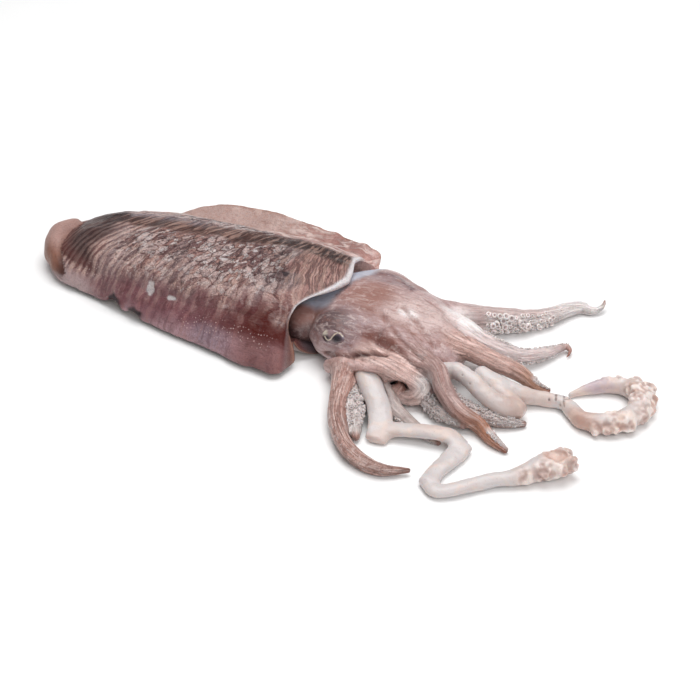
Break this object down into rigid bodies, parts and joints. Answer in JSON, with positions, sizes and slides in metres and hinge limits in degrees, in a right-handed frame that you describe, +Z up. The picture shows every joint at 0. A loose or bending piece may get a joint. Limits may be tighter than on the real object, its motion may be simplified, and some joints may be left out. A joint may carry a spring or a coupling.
{
  "type": "raw whole cuttlefish",
  "caption": "Raw whole cuttlefish resting on its belly: striped mantle with a fin all round, head with bulging eyes, spread arms and folded feeding tentacles with clubs.",
  "frame": {"origin": "on the flat of the belly, under the middle of the mantle, on the surface it lies on", "axes": "+X from the tail to the arms, +Y to the animal's left, +Z up"},
  "size_m": [0.4019, 0.2154, 0.041],
  "materials": {
    "mantle_skin": "wet, mottled brown and mauve skin with pale stripes",
    "arm_flesh": "wet, pink brown skin with pale streaks",
    "tentacle_flesh": "wet, ivory white and slightly translucent",
    "eye": "wet and glossy"
  },
  "bodies": {
    "root": {"mantle": "mantle_skin", "head_and_arms": "arm_flesh", "tentacle_right": "tentacle_flesh", "tentacle_left": "tentacle_flesh", "eye_right": "eye", "eye_left": "eye"}
  },
  "joints": []
}
